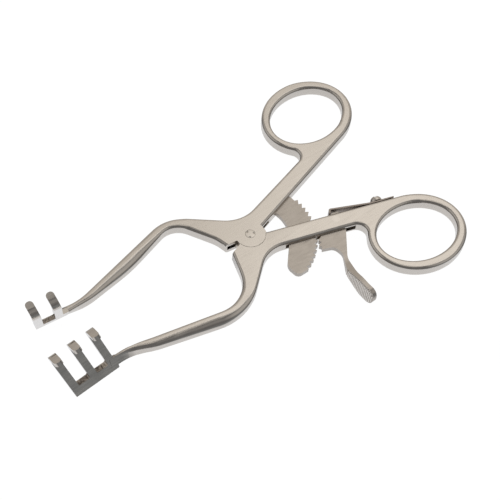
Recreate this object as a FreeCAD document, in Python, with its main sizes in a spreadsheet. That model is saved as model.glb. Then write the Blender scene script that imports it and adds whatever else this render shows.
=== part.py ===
import FreeCAD, Part
import math
import os

# Self retaining retractor: two steel limbs on a box joint. Squeezing the finger rings spreads
# the two combs, and a ratchet on one limb is held by a release lever on the other.
# Frame: origin on the joint's axis in the underside plane, +X along the midline toward the
# rings, +Y the two-prong side, +Z up, the way the prongs stand.

SIZES = {
    # plate and box joint
    "plate_thickness": 4.0,
    "edge_radius": 0.85,
    "cheek_radius": 4.4,
    "recess_clearance": 0.1,
    "tongue_radius": 5.0,
    "tongue_thickness": 1.5,
    "slot_thickness": 1.6,
    "slot_radius": 9.7,
    "joint_rivet_diameter": 2.9,
    "running_clearance": 0.05,
    # finger rings
    "ring_hole_length": 24.8,
    "ring_hole_width": 19.2,
    "ring_hole_x": 40.6,
    "ring_hole_y": 25.85,
    "ring_rim_length": 29.9,
    "ring_rim_width": 25.6,
    "ring_rim_x": 40.85,
    "ring_rim_y": 25.8,
    "ring_tilt": 8.0,
    "ring_root_radius": 2.75,
    # arms
    "arm_rise": 1.0,
    # combs
    "wall_thickness": 1.45,
    "wall_lean": 20.8,
    "two_prong_height": 17.2,
    "three_prong_height": 16.1,
    "comb_flare": 4.8,
    "bar_height": 2.8,
    "prong_width": 2.25,
    "prong_pitch": 5.85,
    "two_prong_sweep": 9.0,
    "three_prong_sweep": 11.5,
    "two_prong_hook": 4.4,
    "three_prong_hook": 5.1,
    "hook_rise": 22.0,
    "hook_bend_radius": 1.5,
    "hook_end_radius": 1.0,
    # ratchet
    "ratchet_thickness": 1.5,
    "ratchet_tip_radius": 19.4,
    "tooth_depth": 0.95,
    "tooth_pitch": 5.06,
    "tooth_count": 16.0,
    "first_tooth_angle": 7.4,
    "ratchet_inner_radius": 11.4,
    "tang_rivet_diameter": 1.6,
    # release lever
    "lever_slot_height": 1.7,
    "lever_pin_x": 23.6,
    "lever_pin_y": 9.6,
    "lever_pin_diameter": 2.1,
    "pawl_lift": 6.6,
    "pawl_engagement": 0.56,
    "pawl_clearance": 0.36,
    "pawl_relief": 0.22,
    "paddle_height": 6.2,
    # spring and screw
    "spring_thickness": 0.5,
    "spring_width": 3.0,
    "spring_gap": 0.1,
    "screw_x": 38.0,
    "screw_diameter": 1.6,
    "screw_head_diameter": 3.6,
    "screw_head_height": 2.1,
    "screw_depth": 3.2,
    "screw_slot_width": 0.5,
    "screw_slot_depth": 0.7,
}

doc = FreeCAD.newDocument("retractor")
sheet = doc.addObject("Spreadsheet::Sheet", "Sizes")
for row, (alias, number) in enumerate(SIZES.items(), 1):
    sheet.set(f"A{row}", alias)
    sheet.set(f"B{row}", str(number))
    sheet.setAlias(f"B{row}", alias)
doc.recompute()


def size(alias):
    return float(sheet.get(alias))


# Helpers: vectors, placed sketches and the features made from them

def vec(x, y, z=0.0):
    return FreeCAD.Vector(x, y, z)


def polar(radius, degrees):
    return radius * math.cos(math.radians(degrees)), radius * math.sin(math.radians(degrees))


def place(origin, x_axis, y_axis):
    x_dir = vec(*x_axis).normalize()
    y_dir = vec(*y_axis).normalize()
    turn = FreeCAD.Rotation(x_dir, y_dir, x_dir.cross(y_dir), "XYZ")
    return FreeCAD.Placement(vec(*origin), turn)


def plan(side, level, height):
    """Plan sketch whose y points outward on either limb, extruded over level to level + height."""
    base = level if side > 0 else level + height
    return place((0, 0, base), (1, 0, 0), (0, side, 0))


def new_body(label):
    body = doc.addObject("PartDesign::Body", label)
    body.Label = label
    return body


def new_sketch(body, name, where, geometry):
    plane = [item for item in body.Origin.OriginFeatures if item.Role == "XY_Plane"][0]
    sketch = body.newObject("Sketcher::SketchObject", name)
    sketch.AttachmentSupport = (plane, [""])
    sketch.MapMode = "FlatFace"
    sketch.AttachmentOffset = where
    sketch.addGeometry(geometry, False)
    return sketch


def pad(body, name, where, geometry, length):
    feature = body.newObject("PartDesign::Pad", name)
    feature.Profile = new_sketch(body, name + "Sketch", where, geometry)
    feature.setExpression("Length", length)
    doc.recompute()
    return feature


def pocket(body, name, where, geometry, length=None):
    """Cut along the sketch's normal by length, or right through both ways."""
    before = body.Shape.Volume
    feature = body.newObject("PartDesign::Pocket", name)
    feature.Profile = new_sketch(body, name + "Sketch", where, geometry)
    if length:
        feature.Reversed = True
        feature.setExpression("Length", length)
    else:
        feature.Type = "ThroughAll"
        feature.SideType = "Symmetric"
    doc.recompute()
    if body.Shape.Volume > before - 0.005:
        raise RuntimeError(f"{body.Label} {name} cuts nothing")
    return feature


def fillet(body, name, wanted, alias):
    """Round every edge of the body's shape that the test accepts."""
    base = body.Tip
    names = [f"Edge{i}" for i, edge in enumerate(base.Shape.Edges, 1) if wanted(edge)]
    if not names:
        raise RuntimeError(f"{body.Label} {name} finds no edge")
    feature = body.newObject("PartDesign::Fillet", name)
    feature.Base = (base, names)
    feature.setExpression("Radius", alias)
    doc.recompute()
    return feature


def circle(x, y, radius):
    return Part.Circle(vec(x, y), vec(0, 0, 1), radius)


def rounded(points, closed=True):
    """Straight runs through (x, y, corner radius) with exactly tangent arcs at the corners."""
    ends = []
    count = len(points)
    for i, (x, y, radius) in enumerate(points):
        here = vec(x, y)
        if radius == 0 or (not closed and i in (0, count - 1)):
            ends.append((here, None, here))
            continue
        back = (vec(*points[i - 1][:2]) - here).normalize()
        ahead = (vec(*points[(i + 1) % count][:2]) - here).normalize()
        half = back.getAngle(ahead) / 2
        reach = radius / math.tan(half)
        inward = (back + ahead).normalize()
        middle = here + inward * (radius / math.sin(half) - radius)
        arc = Part.Arc(here + back * reach, middle, here + ahead * reach)
        ends.append((here + back * reach, arc, here + ahead * reach))
    geometry = []
    for i, (_, arc, leave) in enumerate(ends):
        if arc:
            geometry.append(arc)
        if closed or i < count - 1:
            arrive = ends[(i + 1) % count][0]
            if (arrive - leave).Length > 1e-6:
                geometry.append(Part.LineSegment(leave, arrive))
    return geometry


def middle_of(edge):
    return edge.valueAt((edge.FirstParameter + edge.LastParameter) / 2)


THICK = size("plate_thickness")
MID = THICK / 2


# Finger ring as an ellipse, and where the shank's two edges meet it

class Ring:
    """Ellipse of the ring's rim, in the limb's own sketch where y points outward."""

    def __init__(self, part):
        tilt = math.radians(size("ring_tilt"))
        self.centre = vec(size(f"ring_{part}_x"), size(f"ring_{part}_y"))
        self.major = vec(math.cos(tilt), math.sin(tilt)) * (size(f"ring_{part}_length") / 2)
        self.minor = vec(-math.sin(tilt), math.cos(tilt)) * (size(f"ring_{part}_width") / 2)

    def curve(self):
        return Part.Ellipse(self.centre + self.major, self.centre + self.minor, self.centre)

    def point(self, angle):
        return self.centre + self.major * math.cos(angle) + self.minor * math.sin(angle)

    def scaled(self, x, y, free=False):
        offset = vec(x, y) if free else vec(x, y) - self.centre
        return offset.dot(self.major) / self.major.Length ** 2, offset.dot(self.minor) / self.minor.Length ** 2

    def tangent_from(self, x, y):
        """Angle of the lower tangent point as seen from (x, y)."""
        u, v = self.scaled(x, y)
        return math.atan2(v, u) + math.acos(1 / math.hypot(u, v))

    def struck_by(self, x, y, slope):
        """Angle where a line from (x, y) first enters the ellipse."""
        u, v = self.scaled(x, y)
        du, dv = self.scaled(1, slope, free=True)
        a = du * du + dv * dv
        b = u * du + v * dv
        c = u * u + v * v - 1
        run = (-b - math.sqrt(b * b - a * c)) / a
        return math.atan2(v + run * dv, u + run * du)


# Limbs: outlines are in the limb's own sketch, x toward the rings, y outward from the midline

TWO_PRONG = {
    "label": "two_prong_limb",
    "side": 1,
    "back_line": (7.2, 7.0, 0.3025),
    "outer": [(0.74, 5.05, 10.5), (-16.3, 18.55, 12.0), (-51.5, 8.75, 16.0)],
    "tip": [(-56.3, 9.35, 0), (-56.3, 7.25, 0)],
    "inner": [(-48.0, 7.4, 20.0), (-33.5, 9.95, 60.0), (-16.0, 15.7, 6.0), (-9.0, 4.2, 9.0)],
    "wall": [(-8.0, 0.75, 0)],
    "hub": (176.5, 4.8),
    "thin_from": -10.5,
    "comb_start": (-55.3, 8.5),
    "comb_wall_offset": 0.0,
    "name": "two_prong",
    "prongs": 2,
    "first_prong": 1.1,
}
THREE_PRONG = {
    "label": "three_prong_limb",
    "side": -1,
    "back_line": (6.86, 8.25, 0.2824),
    "outer": [(1.1, 6.65, 9.0), (-15.4, 20.85, 17.0), (-51.0, 12.55, 20.0)],
    "tip": [(-54.6, 12.9, 0), (-54.4, 10.6, 0)],
    "inner": [(-48.5, 10.45, 20.0), (-12.44, 17.58, 10.2)],
    "wall": [(-8.0, 2.45, 0)],
    "hub": (165.5, 23.2),
    "thin_from": -9.0,
    "comb_start": (-52.4, 12.81),
    "comb_wall_offset": -1.55,
    "name": "three_prong",
    "prongs": 3,
    "first_prong": 0.0,
}


def limb_outline(limb, hub_radius):
    rim = Ring("rim")
    x, y, slope = limb["back_line"]
    enter = rim.struck_by(x, y, slope)
    root = rim.point(enter)
    wall_angle, edge_angle = limb["hub"]
    sign = 1 if limb["side"] > 0 else -1
    wall_foot = polar(hub_radius, wall_angle)
    edge_foot = polar(hub_radius, edge_angle)
    leave = rim.tangent_from(*edge_foot)
    touch = rim.point(leave)
    runs = [(root.x, root.y, 0)] + limb["outer"] + limb["tip"] + limb["inner"] + limb["wall"]
    geometry = rounded(runs + [(*wall_foot, 0)], closed=False)
    geometry.append(Part.Arc(vec(*wall_foot), vec(0, -sign * hub_radius), vec(*edge_foot)))
    geometry.append(Part.LineSegment(vec(*edge_foot), touch))
    geometry.append(Part.ArcOfEllipse(rim.curve(), leave, enter))
    return geometry, root


def start_limb(limb):
    """Plate with its ring, thinned arm and rounded edges, before the joint and the comb."""
    side = limb["side"]
    hub_radius = size("cheek_radius") + (0 if side > 0 else size("recess_clearance"))
    body = new_body(limb["label"])
    outline, root = limb_outline(limb, hub_radius)
    pad(body, "Plate", plan(side, 0, THICK), outline, "Sizes.plate_thickness")
    pocket(body, "FingerHole", plan(side, 0, THICK), [Ring("hole").curve()], "Sizes.plate_thickness")

    def ring_root(edge):
        point = middle_of(edge)
        return abs(point.z - MID) < 0.01 and math.hypot(point.x - root.x, side * point.y - root.y) < 0.05

    fillet(body, "RingRoot", ring_root, "Sizes.ring_root_radius")

    def rim_edge(edge):
        point = middle_of(edge)
        direction = edge.tangentAt((edge.FirstParameter + edge.LastParameter) / 2)
        near_hub = math.hypot(point.x, point.y) < 6.5 and side * point.y < hub_radius * (1 if side < 0 else 0.6)
        at_tip = point.x < -54.0
        return abs(direction.z) < 0.3 and not near_hub and not at_tip

    fillet(body, "RoundedEdges", rim_edge, "Sizes.edge_radius")
    rise = size("arm_rise")
    thin = limb["thin_from"]
    under = [(thin, 0, 0), (-45, rise, 0), (-70, rise, 0), (-70, -1, 0), (thin, -1, 0)]
    pocket(body, "ArmThinning", place((0, 0, 0), (1, 0, 0), (0, 0, 1)), rounded(under))
    return body


def add_comb(body, limb):
    """Leaning wall with an outward hook along its top, cut into prongs above the bar."""
    side = limb["side"]
    flare = math.radians(size("comb_flare"))
    along = vec(-math.cos(flare), side * math.sin(flare))
    outward = vec(math.sin(flare), side * math.cos(flare))
    start_x, start_y = limb["comb_start"]
    start = vec(start_x, side * start_y)
    sweep = math.tan(math.radians(size(limb["name"] + "_sweep")))
    lean = math.tan(math.radians(size("wall_lean")))
    rise = math.radians(size("hook_rise"))
    thick = size("wall_thickness")
    height = size(limb["name"] + "_height")
    bend = size("hook_bend_radius")
    foot = thick / math.cos(math.radians(size("wall_lean")))
    corner = vec(-height * lean, height)
    hook = vec(math.cos(rise), math.sin(rise)) * (size(limb["name"] + "_hook") / math.cos(rise))
    drop = vec(math.sin(rise), -math.cos(rise)) * thick
    under = corner + drop
    crook_z = (under.y + math.tan(rise) * (foot - under.x)) / (1 + math.tan(rise) * lean)
    shift = limb["comb_wall_offset"]
    profile = [
        (0, 0, 0),
        (foot, 0, 0),
        (foot - crook_z * lean, crook_z, bend),
        ((under + hook).x, (under + hook).y, 0),
        ((corner + hook).x, (corner + hook).y, 0),
        (corner.x, corner.y, bend + thick),
    ]
    profile = [(x + shift, z, radius) for x, z, radius in profile]
    width = size("prong_width")
    low = size("bar_height")
    high = 20.0
    lefts = [limb["first_prong"] + size("prong_pitch") * number for number in range(limb["prongs"])]
    first = lefts[0]
    last = lefts[-1] + width
    reach = last + high * sweep
    base = start + along * (reach if side > 0 else 0)
    pad(body, "CombWall", place(base, outward, (0, 0, 1)), rounded(profile), f"{reach}")

    cuts = rounded([(-1, THICK, 0), (first + THICK * sweep, THICK, 0), (first + high * sweep, high, 0),
                    (-1, high, 0)])
    cuts += rounded([(last - sweep, -1, 0), (reach + 1, -1, 0), (reach + 1, high, 0), (last + high * sweep, high, 0)])
    for left in lefts[:-1]:
        near = left + width
        far = left + size("prong_pitch")
        cuts += rounded([(near + low * sweep, low, 0.4), (far + low * sweep, low, 0.4),
                         (far + high * sweep, high, 0), (near + high * sweep, high, 0)])
    pocket(body, "ProngGaps", place(start, along, (0, 0, 1)), cuts)

    hook_end = (corner + hook).x + shift

    def hook_corner(edge):
        point = middle_of(edge)
        across = (point - start).dot(outward)
        direction = edge.tangentAt(edge.FirstParameter)
        return point.z > height - 2 and across > hook_end - 0.2 and abs(direction.dot(along)) < 0.5 \
            and abs(edge.Length - thick) < 0.6

    fillet(body, "HookEnds", hook_corner, "Sizes.hook_end_radius")


PIN_X = size("lever_pin_x")
PIN_Y = size("lever_pin_y")

# Ratchet bar's outline: teeth on the outer arc, steep on the side that bears on the pawl, and
# the tang inside the two-prong limb's shank

TANG = [(11.4, 7.0), (17.6, 8.9)]
tip_radius = size("ratchet_tip_radius")
root_radius = tip_radius - size("tooth_depth")
pitch = size("tooth_pitch")
teeth = int(size("tooth_count"))
first_tip = size("first_tooth_angle")
STEEP = 1.4
last_tip = first_tip - pitch * (teeth - 1)
inner = size("ratchet_inner_radius")
inner_end = polar(inner, -49.2)
saw = []
for number in range(teeth):
    tip = first_tip - pitch * number
    saw.append((*polar(root_radius, tip + STEEP), 0))
    saw.append((*polar(tip_radius, tip), 0))
nose = [(3.4, -18.1, 1.6), (2.7, -14.0, 3.0)]
ratchet_outline = rounded(saw + nose + [(*inner_end, 0)], closed=False)
root_end = polar(inner, 15.5)
ratchet_outline.append(Part.Arc(vec(*inner_end), vec(*polar(inner, -17)), vec(*root_end)))
tang = [root_end, *TANG, saw[0][:2]]
ratchet_outline += rounded([(x, y, 0) for x, y in tang], closed=False)

# Two-prong limb: the fork of the box joint, and the slot that holds the ratchet's tang

fork = start_limb(TWO_PRONG)
add_comb(fork, TWO_PRONG)
slot_level = MID - size("slot_thickness") / 2
pocket(fork, "JointSlot", plan(1, slot_level, size("slot_thickness")),
       [circle(0.7, -4.6, size("slot_radius"))], "Sizes.slot_thickness")
pocket(fork, "RivetHole", plan(1, 0, THICK), [circle(0, 0, size("joint_rivet_diameter") / 2)],
       "Sizes.plate_thickness")
ratchet_level = MID - size("ratchet_thickness") / 2
pocket(fork, "TangSlot", plan(1, ratchet_level, size("ratchet_thickness")), ratchet_outline,
       "Sizes.ratchet_thickness")
TANG_RIVETS = [(13.2, 5.6), (16.2, 6.5)]
pocket(fork, "TangRivetHoles", plan(1, 0, THICK),
       [circle(x, y, size("tang_rivet_diameter") / 2) for x, y in TANG_RIVETS], "Sizes.plate_thickness")

# Three-prong limb: the tongue of the box joint, the lever's slot and the spring screw's hole

tongue = start_limb(THREE_PRONG)
add_comb(tongue, THREE_PRONG)
tongue_level = MID - size("tongue_thickness") / 2
pad(tongue, "Tongue", plan(-1, tongue_level, size("tongue_thickness")),
    [circle(0, 0, size("tongue_radius"))], "Sizes.tongue_thickness")
pocket(tongue, "RivetHole", plan(-1, 0, THICK),
       [circle(0, 0, size("joint_rivet_diameter") / 2 + size("running_clearance"))], "Sizes.plate_thickness")
LEVER_SLOT = [(8.1, 1.0, 0), (6.4, 9.5, 0), (27.6, 16.0, 0), (27.2, 6.0, 0)]
pocket(tongue, "LeverSlot", plan(-1, MID - size("lever_slot_height") / 2, size("lever_slot_height")),
       rounded(LEVER_SLOT), "Sizes.lever_slot_height")
pocket(tongue, "LeverPinHole", plan(-1, 0, THICK), [circle(PIN_X, PIN_Y, size("lever_pin_diameter") / 2)],
       "Sizes.plate_thickness")

# The spring's frame: on the limb's inner edge at the screw, u toward the joint, v off the edge

edge_foot = vec(*polar(size("cheek_radius") + size("recess_clearance"), THREE_PRONG["hub"][1]))
rim = Ring("rim")
touch = rim.point(rim.tangent_from(edge_foot.x, edge_foot.y))
run = touch - edge_foot
screw_spot = edge_foot + run * ((size("screw_x") - edge_foot.x) / run.x)
SEAT = vec(screw_spot.x, -screw_spot.y)
U = vec(-run.x, run.y).normalize()
V = vec(U.y, -U.x)


def on_edge(u, v):
    point = SEAT + U * u + V * v
    return point.x, point.y


drill = place((*on_edge(0, -size("screw_depth")), MID), U, (0, 0, 1))
pocket(tongue, "ScrewHole", drill, [circle(0, 0, size("screw_diameter") / 2)], "Sizes.screw_depth + 1")

# Joint rivet, flush in the fork's cheeks

rivet = new_body("joint_rivet")
pad(rivet, "Shank", plan(1, 0, THICK), [circle(0, 0, size("joint_rivet_diameter") / 2)], "Sizes.plate_thickness")

# Lever pin, flush with both faces

pin = new_body("lever_pin")
pad(pin, "Shank", plan(-1, 0, THICK), [circle(PIN_X, PIN_Y, size("lever_pin_diameter") / 2)],
    "Sizes.plate_thickness")

# Ratchet bar: sixteen teeth on its outer arc, steep on the side that bears on the pawl

ratchet = new_body("ratchet_bar")
pad(ratchet, "Bar", plan(1, ratchet_level, size("ratchet_thickness")), ratchet_outline,
    "Sizes.ratchet_thickness")
pocket(ratchet, "TangRivetHoles", plan(1, 0, THICK),
       [circle(x, y, size("tang_rivet_diameter") / 2) for x, y in TANG_RIVETS], "Sizes.plate_thickness")

studs = doc.addObject("Part::Feature", "ratchet_rivets")
studs.Label = "ratchet_rivets"
studs.Shape = Part.makeCompound([Part.makeCylinder(size("tang_rivet_diameter") / 2, THICK, vec(x, y, 0))
                                 for x, y in TANG_RIVETS])

# Release lever: two pawl teeth, the heel under the spring, and the thumb paddle. It is drawn
# lifted just clear of the ratchet, so its pawl end is turned about the pin by the lift.

lever = new_body("release_lever")
depth = size("tooth_depth")
engaged = size("pawl_engagement")
clear = size("pawl_clearance")
valley = tip_radius + size("pawl_relief")


def lifted(radius, degrees):
    x, y = polar(radius, degrees)
    turn = math.radians(size("pawl_lift"))
    dx, dy = x - PIN_X, y + PIN_Y
    return (PIN_X + dx * math.cos(turn) - dy * math.sin(turn),
            -PIN_Y + dx * math.sin(turn) + dy * math.cos(turn), 0)


tooth_edge = [lifted(tip_radius + 0.5, -30.0)]
crest = tip_radius - engaged
for number in (9, 10):
    gullet = first_tip - pitch * number + STEEP
    flank = (pitch - STEEP) / depth
    tooth_edge.append(lifted(valley, gullet + pitch - STEEP + 0.06))
    tooth_edge.append(lifted(crest, gullet + flank * (crest - root_radius - 0.08)))
    tooth_edge.append(lifted(crest, gullet - STEEP * (crest - root_radius) / depth + clear))
tooth_edge.append(lifted(valley, gullet - STEEP + clear))
tooth_edge.append(lifted(valley, gullet - STEEP - 2.1))
thumb = [
    (17.8, -16.3, 2.2), (18.4, -19.4, 3.0), (15.6, -24.5, 6.0), (15.4, -32.0, 20.0), (15.8, -36.0, 0),
    (17.1, -35.9, 0), (16.7, -32.0, 20.0), (17.0, -27.0, 12.0), (18.6, -21.2, 6.0), (24.4, -13.4, 4.0),
    (26.6, -10.2, 1.5), (*on_edge(12.5, 1.0), 0.4), (*on_edge(14.1, 1.0), 0.5), (*on_edge(15.1, 0.1), 0.8),
    (20.5, -8.2, 4.0),
]
half = size("paddle_height") / 2
pad(lever, "Blade", plan(1, MID - half, 2 * half), rounded(tooth_edge + thumb), "Sizes.paddle_height")
flat = size("ratchet_thickness") / 2
trims = []
for up in (1, -1):
    trims += rounded([(5, MID + up * 9, 0), (5, MID + up * flat, 0), (-22.3, MID + up * flat, 6.0),
                      (-30.3, MID + up * half, 8.0), (-34.8, MID + up * half, 2.0), (-36.1, MID + up * 1.0, 0),
                      (-36.1, MID + up * 0.2, 0), (-45, MID + up * 0.2, 0), (-45, MID + up * 9, 0)])
pocket(lever, "PaddleOutline", place((0, 0, 0), (0, 1, 0), (0, 0, 1)), trims)
pocket(lever, "PinHole", plan(1, -2, 8),
       [circle(PIN_X, -PIN_Y, size("lever_pin_diameter") / 2 + size("running_clearance"))], "8")

# Leaf spring: a strip along the limb's inner edge, bent down behind the lever's heel

spring = new_body("leaf_spring")
strip = size("spring_thickness")
lie = size("spring_gap")
upper = [(-5.1, lie + strip, 0), (2.6, lie + strip, 12.0), (14.95, 2.15, 0.7), (15.35, 0.75, 0)]
lower = [(14.8, 0.65, 0), (14.5, 1.6, 0.2), (2.7, lie, 12.0), (-1.9, lie, 0), (-5.1, lie + 0.2, 0)]
strip_outline = [(*on_edge(u, v), radius) for u, v, radius in upper + lower]
strip_base = MID - size("spring_width") / 2
pad(spring, "Strip", plan(1, strip_base, size("spring_width")), rounded(strip_outline), "Sizes.spring_width")
bore = place((*on_edge(0, -1), MID), U, (0, 0, 1))
pocket(spring, "ScrewHole", bore, [circle(0, 0, size("screw_diameter") / 2 + size("spring_gap"))], "4")

# Spring screw: domed head with a driver slot

screw = new_body("spring_screw")
head_base = 2 * lie + strip
head_top = head_base + size("screw_head_height")
head = size("screw_head_diameter") / 2
shank = size("screw_diameter") / 2
half_turn = [(0, -size("screw_depth"), 0), (shank, -size("screw_depth"), 0), (shank, head_base, 0),
             (head, head_base, 0), (head, head_base + 0.4, 0)]
dome = rounded(half_turn, closed=False)
bulge = vec(head * 0.72, head_base + 0.4 + (head_top - head_base - 0.4) * 0.7)
dome.append(Part.Arc(vec(head, head_base + 0.4), bulge, vec(0, head_top)))
dome.append(Part.LineSegment(vec(0, head_top), vec(0, -size("screw_depth"))))
turned = screw.newObject("PartDesign::Revolution", "Turned")
turned.Profile = new_sketch(screw, "TurnedSketch", place((SEAT.x, SEAT.y, MID), U, V), dome)
turned.ReferenceAxis = (turned.Profile[0], ["V_Axis"])
turned.Angle = 360
doc.recompute()
driver = [(-3, head_top + 1, 0), (3, head_top + 1, 0), (3, head_top - size("screw_slot_depth"), 0),
          (-3, head_top - size("screw_slot_depth"), 0)]
slot_half = size("screw_slot_width") / 2
slot_plane = place((SEAT.x, SEAT.y, MID + slot_half), U, V)
pocket(screw, "DriverSlot", slot_plane, rounded(driver), "Sizes.screw_slot_width")

# Checks, then one file for each piece

doc.recompute()
pieces = [fork, tongue, rivet, ratchet, studs, lever, pin, spring, screw]
for item in doc.Objects:
    if {"Invalid", "Error"} & set(item.State):
        raise RuntimeError(f"{item.Name} failed: {item.State}")
os.makedirs("parts", exist_ok=True)
for piece in pieces:
    shape = piece.Shape
    if shape.isNull() or not shape.isValid():
        raise RuntimeError(f"{piece.Label} has no valid shape")
    print(piece.Label, len(shape.Solids), round(shape.Volume, 2), shape.BoundBox)
    shape.exportStep(f"parts/{piece.Label}.step")
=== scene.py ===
# %% [markdown]
# # A self retaining retractor in satin steel
#
# The real object is a surgical hand tool about 13 cm long. Two stainless limbs cross in a box
# joint. Squeezing the finger rings spreads two combs of blunt prongs, and a toothed bar on one
# limb is caught by a sprung release lever on the other.
#
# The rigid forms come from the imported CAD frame, already in metres and in their places. This
# lesson adds what a CAD solid doesn't carry: steel that looks ground and tumbled, limbs whose
# rounds vary as on a polished tool, the punched head of the joint's rivet, a turned screw, a
# softly ground thumb paddle with its grip ridges, and a studio.

# %% Load the frame
import math

import bmesh
import bpy
from mathutils import Matrix, Quaternion, Vector
from mathutils.kdtree import KDTree


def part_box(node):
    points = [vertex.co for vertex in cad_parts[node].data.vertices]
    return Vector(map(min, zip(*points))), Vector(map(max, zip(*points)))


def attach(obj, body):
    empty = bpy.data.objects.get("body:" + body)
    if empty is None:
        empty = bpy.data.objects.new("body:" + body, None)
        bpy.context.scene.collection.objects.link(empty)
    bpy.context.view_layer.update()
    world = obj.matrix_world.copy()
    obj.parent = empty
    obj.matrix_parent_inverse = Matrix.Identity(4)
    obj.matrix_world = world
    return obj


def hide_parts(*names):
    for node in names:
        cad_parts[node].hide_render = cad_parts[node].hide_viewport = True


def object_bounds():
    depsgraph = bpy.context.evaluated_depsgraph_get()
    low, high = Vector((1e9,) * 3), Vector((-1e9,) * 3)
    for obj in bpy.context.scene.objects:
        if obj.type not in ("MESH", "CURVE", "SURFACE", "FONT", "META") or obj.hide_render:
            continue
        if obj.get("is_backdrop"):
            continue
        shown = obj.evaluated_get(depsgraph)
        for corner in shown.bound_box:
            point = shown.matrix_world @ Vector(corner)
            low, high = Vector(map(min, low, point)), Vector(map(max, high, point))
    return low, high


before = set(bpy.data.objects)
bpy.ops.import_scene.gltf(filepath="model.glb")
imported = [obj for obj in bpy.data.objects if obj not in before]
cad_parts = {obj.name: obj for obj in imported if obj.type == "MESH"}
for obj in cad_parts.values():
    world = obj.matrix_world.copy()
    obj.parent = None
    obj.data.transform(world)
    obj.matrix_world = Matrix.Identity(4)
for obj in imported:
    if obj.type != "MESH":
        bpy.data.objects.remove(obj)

MM = 0.001


def add_object(name, data):
    item = bpy.data.objects.new(name, data)
    bpy.context.scene.collection.objects.link(item)
    return item


cad_low, cad_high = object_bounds()
print("frame nodes:", sorted(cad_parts))
print("CAD box in mm:", [round(v / MM, 1) for v in (*cad_low, *cad_high)])

# %% [markdown]
# ## The camera
#
# A photograph fixes where the camera stood, once enough points of the object are known. A
# camera could be turned by hand until the picture looks right. Here the place comes from a
# fit to the photograph instead, because perspective is strong at 34 cm: the camera looks down
# at 56 degrees, almost straight at the joint, and is rolled a little.

# %% Camera
PHOTO_WIDTH = 500
SENSOR_WIDTH = 36
CLIP_NEAR, CLIP_FAR = 0.01, 20
FOCAL_PIXELS = 1199.0
EYE = Vector((-129.5, -143.5, 282.5)) * MM
AIM = Vector((-2.43, -3.36, 2.0)) * MM
ROLL = math.radians(6.69)

camera_data = bpy.data.cameras.new("camera")
camera_data.sensor_width = SENSOR_WIDTH
camera_data.lens = camera_data.sensor_width * FOCAL_PIXELS / PHOTO_WIDTH
camera_data.clip_start = CLIP_NEAR
camera_data.clip_end = CLIP_FAR
camera = add_object("camera", camera_data)
sight = (AIM - EYE).normalized()
camera.rotation_mode = "QUATERNION"
camera.rotation_quaternion = sight.to_track_quat("-Z", "Y") @ Quaternion((0, 0, 1), ROLL)
camera.location = EYE
bpy.context.scene.camera = camera
print("lens in mm:", round(camera_data.lens, 1))
print("distance in cm:", round((AIM - EYE).length * 100, 1))

# %% [markdown]
# ## The studio
#
# Steel has no colour of its own worth the name: it shows the room. The photograph's steel says
# what that room was. Flat tops are warm and bright, so a large panel stood behind the object.
# Upright walls are bright too, so there was white below, as on a light table. The comb that
# faces the camera is dark, so the room at eye level was dim.
#
# A room could be built of lamps and cards. A world shader painted by direction does the same
# with less noise, and each patch of it is one named panel. The camera itself sees plain white.

# %% Node helpers
def add_node(tree, kind, **settings):
    node = tree.nodes.new(kind)
    for name, value in settings.items():
        setattr(node, name, value)
    return node


def feed(tree, target, source):
    """Link a socket, or set a plain value on it."""
    if isinstance(source, bpy.types.NodeSocket):
        tree.links.new(source, target)
    else:
        target.default_value = source


def arithmetic(tree, operation, first, second=0.0):
    node = add_node(tree, "ShaderNodeMath", operation=operation)
    feed(tree, node.inputs[0], first)
    feed(tree, node.inputs[1], second)
    return node.outputs[0]


def remap(tree, value, low, high, start=0.0, end=1.0):
    node = add_node(tree, "ShaderNodeMapRange", interpolation_type="SMOOTHSTEP")
    names = ("Value", "From Min", "From Max", "To Min", "To Max")
    for name, source in zip(names, (value, low, high, start, end)):
        feed(tree, node.inputs[name], source)
    return node.outputs["Result"]


def blend_colour(tree, factor, first, second):
    node = add_node(tree, "ShaderNodeMix", data_type="RGBA")
    feed(tree, node.inputs["Factor"], factor)
    feed(tree, node.inputs["A"], first)
    feed(tree, node.inputs["B"], second)
    return node.outputs["Result"]


def noise(tree, where, scale, detail):
    node = add_node(tree, "ShaderNodeTexNoise")
    feed(tree, node.inputs["Vector"], where)
    feed(tree, node.inputs["Scale"], scale)
    feed(tree, node.inputs["Detail"], detail)
    return node.outputs["Fac"]


# %% [markdown]
# ### The room in reflections
#
# Each panel is a cone round a direction: full inside one angle, gone outside another. The
# directions are written by azimuth from the line of sight and by elevation above the floor.

# %% World
ROOM = (0.18, 0.18, 0.185, 1)
PANELS = [
    # name, azimuth off the line of sight, elevation, full within, gone beyond, colour
    ("back wall", 0, 12, 30, 70, (0.54, 0.51, 0.48, 1)),
    ("left wall", -92, 30, 15, 42, (0.52, 0.51, 0.50, 1)),
    ("right wall", 92, 30, 15, 42, (0.52, 0.51, 0.50, 1)),
    ("front wall", 118, -23, 14, 27, (0.245, 0.26, 0.275, 1)),
    ("soft panel", 0, 47, 20, 29, (0.745, 0.71, 0.665, 1)),
    ("overhead strip", 180, 82, 9, 20, (0.84, 0.81, 0.77, 1)),
    ("light table", 0, -90, 44, 62, (0.90, 0.92, 0.96, 1)),
]
away = Vector((sight.x, sight.y, 0)).normalized()
heading = math.atan2(away.y, away.x)


def room_direction(azimuth, elevation):
    turn = heading - math.radians(azimuth)
    rise = math.radians(elevation)
    level = Vector((math.cos(turn), math.sin(turn), 0)) * math.cos(rise)
    return level + Vector((0, 0, math.sin(rise)))


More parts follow.
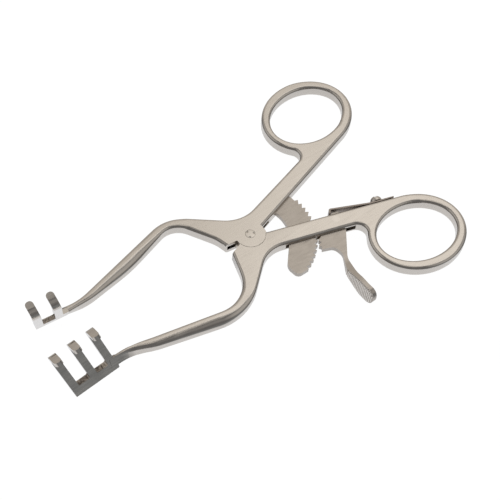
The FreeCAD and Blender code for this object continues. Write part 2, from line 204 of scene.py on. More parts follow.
world = bpy.data.worlds.new("studio")
bpy.context.scene.world = world
world.use_nodes = True
sky = world.node_tree
sky.nodes.clear()
looking = add_node(sky, "ShaderNodeTexCoord").outputs["Generated"]
seen = ROOM
for name, azimuth, elevation, full, gone, colour in PANELS:
    toward = add_node(sky, "ShaderNodeVectorMath", operation="DOT_PRODUCT", label=name)
    feed(sky, toward.inputs[0], looking)
    feed(sky, toward.inputs[1], room_direction(azimuth, elevation))
    outside, inside = math.cos(math.radians(gone)), math.cos(math.radians(full))
    cone = remap(sky, toward.outputs["Value"], outside, inside)
    seen = blend_colour(sky, cone, seen, colour)
room_light = add_node(sky, "ShaderNodeBackground")
feed(sky, room_light.inputs["Color"], seen)
plain_white = add_node(sky, "ShaderNodeBackground")
camera_only = add_node(sky, "ShaderNodeMixShader")
feed(sky, plain_white.inputs["Color"], (1, 1, 1, 1))
feed(sky, camera_only.inputs["Fac"], add_node(sky, "ShaderNodeLightPath").outputs["Is Camera Ray"])
feed(sky, camera_only.inputs[1], room_light.outputs[0])
feed(sky, camera_only.inputs[2], plain_white.outputs[0])
feed(sky, add_node(sky, "ShaderNodeOutputWorld").inputs["Surface"], camera_only.outputs[0])
print("room panels:", len(PANELS))

# %% [markdown]
# ### The white floor
#
# The floor is what the camera sees under the object: mostly plain white, with a share of
# ordinary matt paint in it, so that it still takes the object's soft shadow. Reflections go
# through it to the light table below.

# %% Floor
PAINT_SHARE = 0.16
PAINT_COLOUR = (0.9, 0.9, 0.9, 1)
FLOOR_GLOW = 1.15
FLOOR_RADIUS, FLOOR_SIDES = 1.5, 96
FLOOR_DROP = 0.05 * MM

floor_shader = bpy.data.materials.new("white floor")
floor_shader.use_nodes = True
tree = floor_shader.node_tree
tree.nodes.clear()
paint = add_node(tree, "ShaderNodeBsdfDiffuse")
feed(tree, paint.inputs["Color"], PAINT_COLOUR)
glow = add_node(tree, "ShaderNodeEmission")
feed(tree, glow.inputs["Strength"], FLOOR_GLOW)
white = add_node(tree, "ShaderNodeMixShader")
feed(tree, white.inputs["Fac"], 1 - PAINT_SHARE)
feed(tree, white.inputs[1], paint.outputs[0])
feed(tree, white.inputs[2], glow.outputs[0])
see_through = add_node(tree, "ShaderNodeBsdfTransparent")
for_camera = add_node(tree, "ShaderNodeMixShader")
feed(tree, for_camera.inputs["Fac"], add_node(tree, "ShaderNodeLightPath").outputs["Is Camera Ray"])
feed(tree, for_camera.inputs[1], see_through.outputs[0])
feed(tree, for_camera.inputs[2], white.outputs[0])
feed(tree, add_node(tree, "ShaderNodeOutputMaterial").inputs["Surface"], for_camera.outputs[0])

disc = bmesh.new()
bmesh.ops.create_circle(disc, cap_ends=True, segments=FLOOR_SIDES, radius=FLOOR_RADIUS)
floor_mesh = bpy.data.meshes.new("floor")
disc.to_mesh(floor_mesh)
disc.free()
floor_mesh.transform(Matrix.Translation((0, 0, cad_low.z - FLOOR_DROP)))
floor_mesh.materials.append(floor_shader)
floor = add_object("floor", floor_mesh)
floor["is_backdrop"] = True
print("floor radius in m:", FLOOR_RADIUS)

# %% [markdown]
# ### One soft lamp
#
# The world alone leaves shadows without a side. A large lamp high behind the object gives
# them one, at a level that doesn't change the steel's colour.

# %% Lamp
LAMP_SIZE = 0.5
LAMP_LEVEL = 0.5
LAMP_AZIMUTH, LAMP_ELEVATION = 25, 62
LAMP_DISTANCE = 0.9

lamp_data = bpy.data.lights.new("soft lamp", "AREA")
lamp_data.size = LAMP_SIZE
lamp_data.energy = math.pi * LAMP_SIZE ** 2 * LAMP_LEVEL
lamp = add_object("soft lamp", lamp_data)
lamp.location = room_direction(LAMP_AZIMUTH, LAMP_ELEVATION) * LAMP_DISTANCE
lamp.rotation_euler = (-lamp.location).to_track_quat("-Z", "Y").to_euler()
print("lamp power in W:", round(lamp_data.energy, 2))

# %% [markdown]
# ## The steel
#
# Stainless instruments are forged, ground along their length, blasted to a satin that doesn't
# dazzle, and tumbled so that edges turn smoother than flats. So one finish needs four signs:
# a slow change of tone over some millimetres, a fine grain of short streaks, a roughness that
# drops where the surface turns from flat to round, and a bump too small to see as shape.
#
# These signs belong to every piece, so they are one node group with a value for each piece.

# %% Shared finish
STREAKS_PER_METRE, STREAK_DETAIL, STREAK_SHARE = 1500.0, 2.0, 0.6
CLOUDS_PER_METRE, CLOUD_DETAIL, CLOUD_SHARE = 180.0, 3.0, 0.4
# The upright share of the normal where a face begins to count as flat, and where it does fully.
FLAT_TOP = (0.90, 0.995)
FLAT_SIDE = (0.20, 0.04)

finish = bpy.data.node_groups.new("satin finish", "ShaderNodeTree")
SOCKETS = [
    ("Colour", "INPUT", "NodeSocketColor", (0.6, 0.6, 0.6, 1)),
    ("Mottle", "INPUT", "NodeSocketFloat", 0.08),
    ("Streak Length", "INPUT", "NodeSocketFloat", 12.0),
    ("Flat Roughness", "INPUT", "NodeSocketFloat", 0.3),
    ("Edge Roughness", "INPUT", "NodeSocketFloat", 0.18),
    ("Colour", "OUTPUT", "NodeSocketColor", None),
    ("Roughness", "OUTPUT", "NodeSocketFloat", None),
    ("Height", "OUTPUT", "NodeSocketFloat", None),
]
for name, way, kind, value in SOCKETS:
    socket = finish.interface.new_socket(name=name, in_out=way, socket_type=kind)
    if value is not None:
        socket.default_value = value

given = add_node(finish, "NodeGroupInput")
made = add_node(finish, "NodeGroupOutput")
place = add_node(finish, "ShaderNodeTexCoord").outputs["Object"]

along = add_node(finish, "ShaderNodeCombineXYZ")
feed(finish, along.inputs["X"], arithmetic(finish, "DIVIDE", 1.0, given.outputs["Streak Length"]))
feed(finish, along.inputs["Y"], 1.0)
feed(finish, along.inputs["Z"], 1.0)
stretched = add_node(finish, "ShaderNodeVectorMath", operation="MULTIPLY")
feed(finish, stretched.inputs[0], place)
feed(finish, stretched.inputs[1], along.outputs[0])
streaks = noise(finish, stretched.outputs[0], STREAKS_PER_METRE, STREAK_DETAIL)
clouds = noise(finish, place, CLOUDS_PER_METRE, CLOUD_DETAIL)

upright = add_node(finish, "ShaderNodeSeparateXYZ")
feed(finish, upright.inputs[0], add_node(finish, "ShaderNodeNewGeometry").outputs["Normal"])
steepness = arithmetic(finish, "ABSOLUTE", upright.outputs["Z"])
flat_top = remap(finish, steepness, *FLAT_TOP)
flat_side = remap(finish, steepness, *FLAT_SIDE)
flatness = arithmetic(finish, "MAXIMUM", flat_top, flat_side)

cloud_part = arithmetic(finish, "MULTIPLY", clouds, CLOUD_SHARE)
streak_part = arithmetic(finish, "MULTIPLY", streaks, STREAK_SHARE)
tone = arithmetic(finish, "ADD", cloud_part, streak_part)
off_middle = arithmetic(finish, "SUBTRACT", tone, 0.5)
swing = arithmetic(finish, "MULTIPLY", off_middle, given.outputs["Mottle"])
shaded = add_node(finish, "ShaderNodeVectorMath", operation="SCALE")
feed(finish, shaded.inputs[0], given.outputs["Colour"])
feed(finish, shaded.inputs["Scale"], arithmetic(finish, "ADD", swing, 1.0))
edge_roughness = given.outputs["Edge Roughness"]
span = arithmetic(finish, "SUBTRACT", given.outputs["Flat Roughness"], edge_roughness)
on_flats = arithmetic(finish, "MULTIPLY", span, flatness)
worn = arithmetic(finish, "ADD", edge_roughness, on_flats)
feed(finish, made.inputs["Colour"], shaded.outputs[0])
feed(finish, made.inputs["Roughness"], arithmetic(finish, "ADD", worn, swing))
feed(finish, made.inputs["Height"], streaks)
print("finish nodes:", len(finish.nodes))

# %% [markdown]
# ### One material for each finish
#
# The limbs are warm satin. The toothed bar and the lever were hardened, which leaves them
# darker and duller. The leaf spring's colour is darkened as painted shade, for its face that
# stands in shadow, and pins are turned bright. The grip ridges are smoother, and are painted
# lighter than the lever as a painted sheen of the light table below. Metalness is the same all
# over, so it is a plain number on the shader.

# %% Steel materials
GRAIN_STRENGTH = 0.15
GRAIN_HEIGHT = 0.02 * MM


def steel(name, colour, flat, edge, mottle=0.10, streak=12.0):
    """A metal with the shared finish: two roughnesses, and how many widths long a streak is."""
    material = bpy.data.materials.new(name)
    material.use_nodes = True
    tree = material.node_tree
    shader = tree.nodes["Principled BSDF"]
    shader.inputs["Metallic"].default_value = 1.0
    group = add_node(tree, "ShaderNodeGroup", node_tree=finish)
    feed(tree, group.inputs["Colour"], (*colour, 1))
    feed(tree, group.inputs["Mottle"], mottle)
    feed(tree, group.inputs["Streak Length"], streak)
    feed(tree, group.inputs["Flat Roughness"], flat)
    feed(tree, group.inputs["Edge Roughness"], edge)
    bump = add_node(tree, "ShaderNodeBump")
    feed(tree, bump.inputs["Strength"], GRAIN_STRENGTH)
    feed(tree, bump.inputs["Distance"], GRAIN_HEIGHT)
    feed(tree, bump.inputs["Height"], group.outputs["Height"])
    feed(tree, shader.inputs["Base Color"], group.outputs["Colour"])
    feed(tree, shader.inputs["Roughness"], group.outputs["Roughness"])
    feed(tree, shader.inputs["Normal"], bump.outputs[0])
    return material, group, bump


limb_steel, limb_group, limb_bump = steel(
    "satin limb steel", (0.62, 0.575, 0.52), 0.27, 0.16, mottle=0.55, streak=16.0)
bar_steel, _, _ = steel(
    "hardened bar steel", (0.51, 0.465, 0.415), 0.40, 0.28, mottle=0.60, streak=5.0)
# The spring's dark colour is painted shade, for its face that stands in shadow.
shaded_spring_steel, _, _ = steel(
    "spring steel painted in shade", (0.30, 0.26, 0.23), 0.34, 0.24, streak=20.0)
pin_steel, _, _ = steel(
    "turned pin steel", (0.635, 0.59, 0.535), 0.24, 0.16, mottle=0.25, streak=1.0)
# The ridges' lighter colour is a painted sheen of the light table below; their lower roughness is
# the smoother ridge surface.
ridge_steel_with_painted_sheen, _, _ = steel(
    "ridge steel with painted sheen", (0.66, 0.62, 0.57), 0.26, 0.20, mottle=0.2, streak=1.0)
steels = (limb_steel, bar_steel, shaded_spring_steel, pin_steel, ridge_steel_with_painted_sheen)
print("materials:", [material.name for material in steels])

# %% [markdown]
# ### Pitted gaps with painted shade
#
# Between the prongs, the comb's bar was cut by a small wheel and left rough. It isn't a
# separate piece, so the limb's material finds the place: beyond the comb's start, low on the
# bar, and facing up. There the steel is rougher and pitted, and its colour is darkened as
# painted shade, standing in for the shade that the prongs cast on the floor of each gap.

# %% Pits and painted shade in the comb's gaps
COMB_X = -56.6 * MM
GAP_TOP = 3.3 * MM
PATCH_FADE = 0.3 * MM
FACING_UP = (0.55, 0.85)
PITS_PER_METRE, PIT_DETAIL = 1600.0, 3.0
PIT_CONTRAST = (0.35, 0.65)
SHADED_PIT_COLOUR = (0.16, 0.14, 0.12, 1)
SHADED_BETWEEN_PITS = (0.52, 0.46, 0.40, 1)
PIT_DEPTH = 0.1 * MM
PIT_STRENGTH = 0.6
GROUND_ROUGHER = 0.25

tree = limb_steel.node_tree
spot = add_node(tree, "ShaderNodeSeparateXYZ")
where = add_node(tree, "ShaderNodeTexCoord").outputs["Object"]
feed(tree, spot.inputs[0], where)
facing = add_node(tree, "ShaderNodeSeparateXYZ")
feed(tree, facing.inputs[0], add_node(tree, "ShaderNodeNewGeometry").outputs["Normal"])
beyond = remap(tree, spot.outputs["X"], COMB_X, COMB_X - PATCH_FADE)
low = remap(tree, spot.outputs["Z"], GAP_TOP, GAP_TOP - PATCH_FADE)
upward = remap(tree, facing.outputs["Z"], *FACING_UP)
gap_shade_and_pits = arithmetic(tree, "MULTIPLY", arithmetic(tree, "MULTIPLY", beyond, low), upward)
pits = noise(tree, where, PITS_PER_METRE, PIT_DETAIL)
shader = tree.nodes["Principled BSDF"]
# The dark pit colours are painted shade on the gap floors between the prongs; the pits' bump and
# extra roughness are the rough surface.
shaded_pits = blend_colour(tree, remap(tree, pits, *PIT_CONTRAST), SHADED_PIT_COLOUR, SHADED_BETWEEN_PITS)
colour_with_gap_shade = blend_colour(tree, gap_shade_and_pits, limb_group.outputs["Colour"], shaded_pits)
feed(tree, shader.inputs["Base Color"], colour_with_gap_shade)
rougher = arithmetic(tree, "MULTIPLY", gap_shade_and_pits, GROUND_ROUGHER)
rough = arithmetic(tree, "ADD", limb_group.outputs["Roughness"], rougher)
feed(tree, shader.inputs["Roughness"], rough)
pit_bump = add_node(tree, "ShaderNodeBump")
feed(tree, pit_bump.inputs["Strength"], PIT_STRENGTH)
feed(tree, pit_bump.inputs["Distance"], PIT_DEPTH)
feed(tree, pit_bump.inputs["Height"], arithmetic(tree, "MULTIPLY", pits, gap_shade_and_pits))
feed(tree, pit_bump.inputs["Normal"], limb_bump.outputs[0])
feed(tree, shader.inputs["Normal"], pit_bump.outputs[0])
print("limb steel nodes:", len(tree.nodes))

# %% [markdown]
# ### Dress the CAD pieces
#
# A CAD piece whose shape is right stays, and only its material slots are filled. The other
# CAD pieces are replaced further down.

# %% Fill the slots
DRESS = {
    "ratchet_bar": bar_steel,
    "leaf_spring": shaded_spring_steel,
    "lever_pin": pin_steel,
    "ratchet_rivets": limb_steel,
}
for name, material in DRESS.items():
    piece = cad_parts[name]
    if not piece.material_slots:
        piece.data.materials.append(material)
    for slot in piece.material_slots:
        slot.material = material
print("dressed:", len(DRESS))

# %% [markdown]
# ### Make a new piece
#
# A replaced piece starts as a copy of its CAD mesh or as a new mesh. Either way it ends alike:
# smooth shading, edges that stay crisp above an angle, one steel, and flat faces kept flat.

# %% Mesh helpers
SAME_POINT = 0.5e-6
TINY_GAP = 1e-7
FLAT_FOLD = math.radians(0.05)
PLATE_SHARP = 32  # degrees


def cad_copy(node_name):
    """A CAD mesh to reshape, with the doubled points along its faces joined."""
    shape = bmesh.new()
    shape.from_mesh(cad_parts[node_name].data)
    bmesh.ops.remove_doubles(shape, verts=shape.verts, dist=SAME_POINT)
    return shape


def merge_flat_faces(shape):
    """Join neighbours that lie in one plane into one face."""
    bmesh.ops.dissolve_limit(shape, angle_limit=FLAT_FOLD, verts=shape.verts, edges=shape.edges)
    shape.normal_update()


def mesh_of(shape, name):
    mesh = bpy.data.meshes.new(name)
    shape.to_mesh(mesh)
    shape.free()
    return mesh


def make_piece(name, mesh, sharp_angle, material):
    """A smooth shaded piece, crisp where two faces meet at more than the angle in degrees."""
    mesh.shade_smooth()
    mesh.set_sharp_from_angle(angle=math.radians(sharp_angle))
    mesh.materials.clear()
    mesh.materials.append(material)
    return add_object(name, mesh)


def keep_flats(piece):
    piece.modifiers.new("flat faces stay flat", "WEIGHTED_NORMAL").keep_sharp = True


# %% [markdown]
# ## Tumbled limbs
#
# On the real limbs the shanks have a crisp round along their edges, but the slender arms were
# polished until little of their flat top was left: a dark, a bright and a dark band run side
# by side along them. The CAD has one radius all along, because one fillet is what a solid
# carries safely.
#
# A wider round could be modelled as a swept bar. It is simpler to move what is there: each
# point of the CAD's round is one radius out from the round's centre line, so a wider round
# is the same point moved in and down by the added radius times (normal - up - outward). The
# added radius follows a rule along the limb, and stays under a share of the flat's width. On
# the three prong arm the outer side was worked harder, so its share is larger.

# %% Where the round gets wider
LIMB_TOP = 4.0 * MM
CAD_ROUND = 0.85 * MM
ADDED_ON_ARM = 0.95 * MM
ADDED_ON_WORKED_SIDE = 1.70 * MM
ADDED_ON_RING = 0.28 * MM
FLAT_SHARE = 0.41
WORKED_SHARE = 0.74
OTHER_SHARE = 0.14
# Each pair says where along the limb a rule begins to fade in, and where it holds fully.
ARM_BEGINS, ARM_ENDS = (9 * MM, 17 * MM), (44 * MM, 50 * MM)
RING_BEGINS = (43 * MM, 49 * MM)
WORKED_BEGINS = (16 * MM, 24 * MM)
SIDE_CHANGE = (-0.2, 0.2)


def ease(value, low, high):
    t = min(1.0, max(0.0, (value - low) / (high - low)))
    return t * t * (3 - 2 * t)


def blend_value(share, first, second):
    return first + (second - first) * share


def added_round(place, outward, lopsided):
    """The radius that tumbling adds here, and the share of the flat that it may take."""
    arm = ease(-place.x, *ARM_BEGINS) * (1 - ease(-place.x, *ARM_ENDS))
    ring = ease(place.x, *RING_BEGINS)
    uneven = lopsided * ease(-place.x, *WORKED_BEGINS)
    worked = ease(-outward.y, *SIDE_CHANGE)
    radius = blend_value(uneven * worked, ADDED_ON_ARM, ADDED_ON_WORKED_SIDE)
    share = blend_value(uneven, FLAT_SHARE, blend_value(worked, OTHER_SHARE, WORKED_SHARE))
    return radius * arm + ADDED_ON_RING * ring, share


# %% Widen the rounds
LEVEL_MISS = 1e-6
WALL_RISE, TOP_RISE = 0.03, 0.9985
WIDEST_FLAT = 6 * MM
OPPOSITE = -0.8
NEAR_CRESTS = 8
FARTHEST_MISS = 1.6 * CAD_ROUND


def in_plan(vector):
    return Vector((vector.x, vector.y, 0))


def crest_of_round(shape):
    """The points where the flat top ends, each with the level direction away from the flat."""
    outward = {}
    for edge in shape.edges:
        tops = [face for face in edge.link_faces if face.normal.z > TOP_RISE]
        rounds = [face for face in edge.link_faces if WALL_RISE < face.normal.z <= TOP_RISE]
        if tops and rounds and min(vert.co.z for vert in edge.verts) > LIMB_TOP - LEVEL_MISS:
            along = in_plan(edge.verts[1].co - edge.verts[0].co)
            across = Vector((along.y, -along.x, 0))
            if across.dot(rounds[0].normal) < 0:
                across.negate()
            for vert in edge.verts:
                outward[vert] = outward.get(vert, Vector()) + across.normalized()
    return {vert: out.normalized() for vert, out in outward.items()}


def widen_rounds(shape, lopsided):
    """Move the points of the upper round; each takes the added radius of the crest beside it."""
    outward = crest_of_round(shape)
    crest = list(outward)
    finder = KDTree(len(crest))
    for index, vert in enumerate(crest):
        finder.insert(in_plan(vert.co), index)
    finder.balance()
    added = []
    for vert in crest:
        near = finder.find_range(in_plan(vert.co), WIDEST_FLAT)
        across = [abs((crest[index].co - vert.co).dot(outward[vert])) for _, index, _ in near
                  if outward[crest[index]].dot(outward[vert]) < OPPOSITE]
        radius, share = added_round(vert.co, outward[vert], lopsided)
        added.append(min([radius] + [gap * share for gap in across]))
    moves = {vert: -radius * outward[vert] for vert, radius in zip(crest, added) if radius > 0}
    for vert in shape.verts:
        slanting = any(WALL_RISE < face.normal.z < TOP_RISE for face in vert.link_faces)
        on_round = LIMB_TOP - CAD_ROUND - LEVEL_MISS < vert.co.z < LIMB_TOP - LEVEL_MISS
        if not slanting or not on_round:
            continue
        rise = (vert.co.z - LIMB_TOP + CAD_ROUND) / CAD_ROUND
        lean = math.sqrt(max(0.0, 1 - rise ** 2))
        near = []
        for _, index, gap in finder.find_n(in_plan(vert.co), NEAR_CRESTS):
            reach = (vert.co - crest[index].co).dot(outward[crest[index]])
            near.append((abs(reach - lean * CAD_ROUND) + gap, index))
        miss, index = min(near)
        if miss < FARTHEST_MISS and added[index] > 0:
            out = outward[crest[index]]
            moves[vert] = added[index] * ((lean - 1) * out + Vector((0, 0, rise - 1)))
    for vert, move in moves.items():
        vert.co += move
    return len(moves)


# %% [markdown]
# ### Where the arm becomes the comb
#
# On the real tool the arm's end runs on into the comb's leaning plate. In the CAD the arm's
# upright wall meets the plate with a step. Here the wall leans over bit by bit until it lies
# in the plate. It is cut across first, because only points move, and a long face with no
# points between its ends can't bend. The foot of the outer prong is trimmed as well.

# %% Settle the arm's end on the comb
PLATE_STARTS = -58 * MM
ARM_REACHES = -56.5 * MM
ARM_LOW, ARM_HIGH = 0.9 * MM, 4.1 * MM
WALL_FACING = -0.9
CUTS_IN_MM = range(-55, -40, 2)
IN_FRONT = 3e-6
FOOT_CUT = 4.7 * MM
FOOT_X = (-54.9 * MM, -52.5 * MM)
FOOT_Z = (3 * MM, 4.3 * MM)
FOOT_LIMIT = -10.7 * MM


def cut_across(shape, place, normal):
    bmesh.ops.bisect_plane(shape, geom=shape.verts[:] + shape.edges[:] + shape.faces[:],
                           dist=TINY_GAP, plane_co=place, plane_no=normal)


def settle_on_plate(shape, starts, ends):
    """Lean the arm's near wall over, bit by bit, until it lies in the comb's leaning plate."""
    plate = [face for face in shape.faces if all(vert.co.x < PLATE_STARTS for vert in face.verts)]
    walls = [face for face in plate if face.normal.y < WALL_FACING]
    near_wall = max(walls, key=lambda face: face.calc_area())
    normal, point = near_wall.normal.copy(), near_wall.verts[0].co.copy()
    for x in CUTS_IN_MM:
        cut_across(shape, (x * MM, 0, 0), (1, 0, 0))
    for vert in shape.verts:
        x, y, z = vert.co
        plate_y = point.y - (normal.x * (x - point.x) + normal.z * (z - point.z)) / normal.y
        on_arm = ARM_REACHES < x < -starts and ARM_LOW < z < ARM_HIGH
        if on_arm and y < plate_y - IN_FRONT:
            vert.co.y += (plate_y - y) * ease(-x, starts, ends)


def trim_foot(shape):
    """Bring the outer prong's foot back to the arm's far wall, which hides it on the real one."""
    cut_across(shape, (0, 0, FOOT_CUT), (0, 0, 1))
    for vert in shape.verts:
        x, y, z = vert.co
        in_foot = FOOT_X[0] < x < FOOT_X[1] and FOOT_Z[0] < z < FOOT_Z[1]
        if in_foot and FOOT_LIMIT < y < 0:
            vert.co.y = FOOT_LIMIT


# %% Make both limbs
SLIVER_X = (-57 * MM, -40 * MM)
SLIVER_Z = (3.5 * MM, 4.2 * MM)


def turn_slivers_up(shape):
    """Merging can leave thin faces of the flat top upside down near the comb; turn them back."""
    slivers = []
    for face in shape.faces:
        x, _, z = face.calc_center_median()
        near_end = SLIVER_X[0] < x < SLIVER_X[1] and SLIVER_Z[0] < z < SLIVER_Z[1]
        if face.normal.z < -0.5 and near_end:
            slivers.append(face)
    bmesh.ops.reverse_faces(shape, faces=slivers)


def tumble(node_name, lopsided, starts, ends):
    shape = cad_copy(node_name)
    shape.normal_update()
    moved = widen_rounds(shape, lopsided)
    settle_on_plate(shape, starts, ends)
    if lopsided:
        trim_foot(shape)
    merge_flat_faces(shape)
    turn_slivers_up(shape)
    piece_name = "tumbled_" + node_name
    piece = make_piece(piece_name, mesh_of(shape, piece_name), PLATE_SHARP, limb_steel)
    keep_flats(piece)
    print(piece_name, "points moved:", moved, "of", len(piece.data.vertices))
    return piece


LIMBS = (
    # node, body, lopsided, where the lean starts and ends
    ("two_prong_limb", "two_prong_side", 0, 50.0 * MM, 55.6 * MM),
    ("three_prong_limb", "three_prong_side", 1, 41.0 * MM, 54.3 * MM),
)
for node_name, body, lopsided, starts, ends in LIMBS:
    limb = tumble(node_name, lopsided, starts, ends)
    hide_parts(node_name)
    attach(limb, body)

# %% [markdown]
# ## The joint's rivet
#
# The rivet is ground flush with the joint's cheeks, then staked: a punch with three points
# upsets its end, so that it can't creep out. The CAD rivet is a plain cylinder. A plain disc
# could get the marks as a bump, but a bump has no edge when the joint is seen from low down,
# so the head is a fine polar mesh whose height is a formula: a hair of crown, a shallow rim
# line, and three punched dimples.

# %% Staked rivet
rivet_low, rivet_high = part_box("joint_rivet")
RIVET_RADIUS = (rivet_high.x - rivet_low.x) / 2
CROWN = 0.03 * MM
RIM_DROP = 0.07 * MM
RIM_STARTS, RIM_WIDTH = 0.92, 0.08
DIMPLE_DEPTH = 0.17 * MM
DIMPLE_RADIUS = 0.29 * RIVET_RADIUS
DIMPLE_CIRCLE = 0.80 * RIVET_RADIUS
FIRST_DIMPLE = -14
RINGS, SPOKES = 24, 96


def crown_height(x, y):
    """Height of the staked face over the ground cheek at (x, y) from the rivet's axis."""
    out = math.hypot(x, y) / RIVET_RADIUS
    height = CROWN * (1 - out ** 2) - RIM_DROP * max(0.0, (out - RIM_STARTS) / RIM_WIDTH) ** 2
    for third in range(3):
        angle = math.radians(FIRST_DIMPLE + 120 * third)
        dimple_x, dimple_y = DIMPLE_CIRCLE * math.cos(angle), DIMPLE_CIRCLE * math.sin(angle)
        gap = math.hypot(x - dimple_x, y - dimple_y) / DIMPLE_RADIUS
        if gap < 1:
            height -= DIMPLE_DEPTH * (1 - gap ** 2) ** 2
    return height


shape = bmesh.new()
rows = []
for face, level in ((1, rivet_high.z), (-1, rivet_low.z)):
    middle = shape.verts.new((0, 0, level + face * crown_height(0, 0)))
    circles = []
    for ring in range(1, RINGS + 1):
        reach = RIVET_RADIUS * ring / RINGS
        points = [(reach * math.cos(2 * math.pi * s / SPOKES),
                   reach * math.sin(2 * math.pi * s / SPOKES)) for s in range(SPOKES)]
        circles.append([shape.verts.new((x, y, level + face * crown_height(x, y)))
                        for x, y in points])
    for s in range(SPOKES):
        after = (s + 1) % SPOKES
        shape.faces.new((middle, circles[0][s], circles[0][after]))
        for inner, outer in zip(circles, circles[1:]):
            shape.faces.new((inner[s], outer[s], outer[after], inner[after]))
    rows.append(circles[-1])
for s in range(SPOKES):
    after = (s + 1) % SPOKES
    shape.faces.new((rows[0][s], rows[0][after], rows[1][after], rows[1][s]))
bmesh.ops.recalc_face_normals(shape, faces=shape.faces)
rivet_mesh = mesh_of(shape, "staked_rivet")
rivet = make_piece("staked_rivet", rivet_mesh, sharp_angle=40, material=limb_steel)
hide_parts("joint_rivet")
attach(rivet, "two_prong_side")
print("rivet faces:", len(rivet_mesh.polygons))

# %% [markdown]
# ## The spring's screw
#
# One small screw holds the leaf spring. Its head is a low dome with a driver slot that stands
# upright, so from above the slot shows as a notch between two bright lobes. The CAD's head
# has its slot the other way, which is hard to see on a 3.6 mm head but plain in a close view.
#
# The head could be sculpted. It is turned instead, like the real one: a half profile is spun
# about the screw's axis, and a thin block is taken away for the slot.

# %% Turned screw
SCREW_SEAT = Vector((38.0, -11.5965, 2.0)) * MM
SCREW_AXIS = Vector((0.2786, 0.9604, 0))
SLOT_WIDTH = 0.74 * MM
SLOT_DEPTH = 1.15 * MM
HEAD_BASE, HEAD_RIM, HEAD_TOP = 0.7 * MM, 1.15 * MM, 2.8 * MM
HEAD_RADIUS, SHANK_RADIUS, SHANK_END = 1.8 * MM, 0.8 * MM, -3.2 * MM
DOME_STEPS, SPIN_STEPS = 14, 64
BLOCK_LENGTH = 6 * MM

turned_to_axis = SCREW_AXIS.to_track_quat("Z", "Y").to_matrix().to_4x4()
upright_screw = Matrix.Translation(SCREW_SEAT) @ turned_to_axis
profile = [(0, SHANK_END), (SHANK_RADIUS, SHANK_END),
           (SHANK_RADIUS, HEAD_BASE), (HEAD_RADIUS, HEAD_BASE)]
for step in range(DOME_STEPS + 1):
    turn = math.pi / 2 * step / DOME_STEPS
    height = HEAD_RIM + (HEAD_TOP - HEAD_RIM) * math.sin(turn)
    profile.append((HEAD_RADIUS * math.cos(turn), height))
shape = bmesh.new()
chain = [shape.verts.new((radius, 0, height)) for radius, height in profile]
edges = [shape.edges.new(pair) for pair in zip(chain, chain[1:])]
bmesh.ops.spin(shape, geom=chain + edges, axis=(0, 0, 1), cent=(0, 0, 0),
               steps=SPIN_STEPS, angle=2 * math.pi)
bmesh.ops.remove_doubles(shape, verts=shape.verts, dist=TINY_GAP)
bmesh.ops.recalc_face_normals(shape, faces=shape.faces)
turned = mesh_of(shape, "turned screw")

block = bmesh.new()
block_size = Matrix.Diagonal((SLOT_WIDTH, BLOCK_LENGTH, 2 * SLOT_DEPTH, 1))
block_place = Matrix.Translation((0, 0, HEAD_TOP))
bmesh.ops.create_cube(block, size=1, matrix=block_place @ block_size)
cutter = add_object("slot block", mesh_of(block, "slot block"))
blank = add_object("screw blank", turned)
cut = blank.modifiers.new("slot", "BOOLEAN")
cut.operation = "DIFFERENCE"
cut.solver = "EXACT"
cut.object = cutter
cut_blank = blank.evaluated_get(bpy.context.evaluated_depsgraph_get())
screw_mesh = bpy.data.meshes.new_from_object(cut_blank)
screw_mesh.transform(upright_screw)
for item in (cutter, blank):
    bpy.data.objects.remove(item)
screw = make_piece("slotted_screw", screw_mesh, sharp_angle=35, material=pin_steel)
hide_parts("spring_screw")
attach(screw, "three_prong_side")
print("screw faces:", len(screw_mesh.polygons))

# %% [markdown]
# ## The thumb paddle
#
# The lever was stamped from plate, but its paddle was ground round along the whole outline,
# because a thumb rests on it. The CAD's paddle has sharp edges there.
#
# A Bevel modifier would round the pawl's teeth as well. A bevel in mesh code takes only the
# edges that it is given: first the corners at the tip, then the outline behind the neck.

# %% Rounded paddle
PADDLE_Y = -22.4 * MM
TIP_Y = -35.0 * MM
TIP_ROUND = 0.95 * MM
OUTLINE_ROUND = 0.42 * MM
TIP_FOLD, OUTLINE_FOLD = 0.3, 1.0
TIP_STEPS, OUTLINE_STEPS = 5, 4
SHORTEST_TIP_EDGE = 1 * MM


def folded_edges(shape, behind, angle):
    """Convex edges whose two points lie beyond a place on the paddle."""
    return [edge for edge in shape.edges
            if len(edge.link_faces) == 2 and edge.calc_face_angle_signed() > angle
            and all(vert.co.y < behind for vert in edge.verts)]


def round_off(shape, edges, radius, steps):
    bmesh.ops.bevel(shape, geom=edges, offset=radius, segments=steps, profile=0.5,
                    affect="EDGES", clamp_overlap=True)


shape = cad_copy("release_lever")
merge_flat_faces(shape)
tip = [edge for edge in folded_edges(shape, TIP_Y, TIP_FOLD)
       if abs(edge.verts[0].co.x - edge.verts[1].co.x) > SHORTEST_TIP_EDGE]
round_off(shape, tip, TIP_ROUND, TIP_STEPS)
shape.normal_update()
outline = folded_edges(shape, PADDLE_Y, OUTLINE_FOLD)
round_off(shape, outline, OUTLINE_ROUND, OUTLINE_STEPS)
print("rounded edges:", len(tip), "at the tip,", len(outline), "on the outline")
lever = make_piece("ground_lever", mesh_of(shape, "ground_lever"), PLATE_SHARP, bar_steel)
keep_flats(lever)
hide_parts("release_lever")
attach(lever, "lever")

# %% [markdown]
# ## The paddle's grip ridges
#
# The thumb pushes the paddle's smooth side face, which is cut with fine upright ridges, so
# that a wet glove doesn't slip. There are about twenty alike, spaced evenly along the curved
# face and as long as the paddle is high at that place.
#
# They could be copied by hand. Geometry Nodes suit a repeat along a path better: one curve
# follows the face and carries the paddle's half height as its radius, and the tree sets one
# small bar on each of its evenly spaced points.

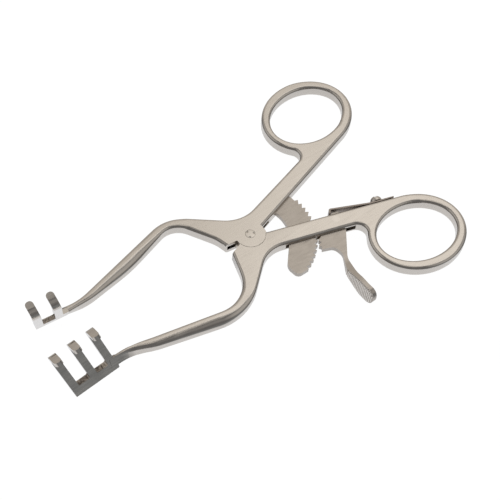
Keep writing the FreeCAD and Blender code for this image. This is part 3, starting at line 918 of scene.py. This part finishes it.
# %% The path of the ridges
FACE_POINTS = [
    # x, y and the paddle's half height there, all in mm
    (15.66, -24.6, 1.10),
    (15.52, -27.2, 1.85),
    (15.45, -29.8, 2.60),
    (15.44, -32.4, 2.75),
    (15.66, -34.7, 2.40),
    (15.72, -35.3, 1.30),
]
MID_HEIGHT = 2.0 * MM

path_data = bpy.data.curves.new("grip path", "CURVE")
path_data.dimensions = "3D"
spline = path_data.splines.new("POLY")
spline.points.add(len(FACE_POINTS) - 1)
for point, (x, y, half) in zip(spline.points, FACE_POINTS):
    point.co = (x * MM, y * MM, MID_HEIGHT, 1)
    point.radius = half * MM
path = add_object("grip_ridges_path", path_data)
print("path points:", len(spline.points))

# %% The tree that sets the ridges
RIDGES = 19
RIDGE_WIDTH = 0.34 * MM
RIDGE_SIDES = 12
RIDGE_SOCKETS = [
    ("Path", "INPUT", "NodeSocketGeometry"),
    ("Ridges", "INPUT", "NodeSocketInt"),
    ("Width", "INPUT", "NodeSocketFloat"),
    ("Steel", "INPUT", "NodeSocketMaterial"),
    ("Mesh", "OUTPUT", "NodeSocketGeometry"),
]

ridge_tree = bpy.data.node_groups.new("ridges along a path", "GeometryNodeTree")
inputs = {}
for name, way, kind in RIDGE_SOCKETS:
    socket = ridge_tree.interface.new_socket(name=name, in_out=way, socket_type=kind)
    inputs[name] = socket.identifier

start = add_node(ridge_tree, "NodeGroupInput")
spaced = add_node(ridge_tree, "GeometryNodeResampleCurve")
feed(ridge_tree, spaced.inputs["Curve"], start.outputs["Path"])
feed(ridge_tree, spaced.inputs["Count"], start.outputs["Ridges"])
bar = add_node(ridge_tree, "GeometryNodeMeshCylinder", fill_type="NGON")
feed(ridge_tree, bar.inputs["Vertices"], RIDGE_SIDES)
half_width = arithmetic(ridge_tree, "DIVIDE", start.outputs["Width"], 2.0)
feed(ridge_tree, bar.inputs["Radius"], half_width)
feed(ridge_tree, bar.inputs["Depth"], 2.0)
tall = add_node(ridge_tree, "ShaderNodeCombineXYZ")
feed(ridge_tree, tall.inputs["X"], 1.0)
feed(ridge_tree, tall.inputs["Y"], 1.0)
feed(ridge_tree, tall.inputs["Z"], add_node(ridge_tree, "GeometryNodeInputRadius").outputs[0])
placed = add_node(ridge_tree, "GeometryNodeInstanceOnPoints")
feed(ridge_tree, placed.inputs["Points"], spaced.outputs["Curve"])
feed(ridge_tree, placed.inputs["Instance"], bar.outputs["Mesh"])
feed(ridge_tree, placed.inputs["Scale"], tall.outputs[0])
real = add_node(ridge_tree, "GeometryNodeRealizeInstances")
feed(ridge_tree, real.inputs[0], placed.outputs[0])
painted = add_node(ridge_tree, "GeometryNodeSetMaterial")
feed(ridge_tree, painted.inputs["Geometry"], real.outputs[0])
feed(ridge_tree, painted.inputs["Material"], start.outputs["Steel"])
feed(ridge_tree, add_node(ridge_tree, "NodeGroupOutput").inputs[0], painted.outputs[0])

grower = path.modifiers.new("ridges", "NODES")
grower.node_group = ridge_tree
grower[inputs["Ridges"]] = RIDGES
grower[inputs["Width"]] = RIDGE_WIDTH
grower[inputs["Steel"]] = ridge_steel_with_painted_sheen
print("ridge tree nodes:", len(ridge_tree.nodes))

# %% Make the ridges a plain mesh
evaluated = path.evaluated_get(bpy.context.evaluated_depsgraph_get())
ridge_mesh = bpy.data.meshes.new_from_object(evaluated)
ridge_mesh.shade_smooth()
ridge_mesh.set_sharp_from_angle(angle=math.radians(50))
ridges = add_object("grip_ridges", ridge_mesh)
bpy.data.objects.remove(path)
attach(ridges, "lever")
print("ridge faces:", len(ridge_mesh.polygons))

# %% [markdown]
# ## Look and measure
#
# The picture is shown as it is, with the Standard view. The last cell prints the difference
# between the dressed model's box and the CAD's box, because dressing must not change the object's
# size.

# %% Finish
bpy.context.scene.view_settings.view_transform = "Standard"
dressed_low, dressed_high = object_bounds()
growth = [b - a for a, b in zip((*cad_low, *cad_high), (*dressed_low, *dressed_high))]
print("growth in mm:", [round(step / MM, 3) for step in growth])
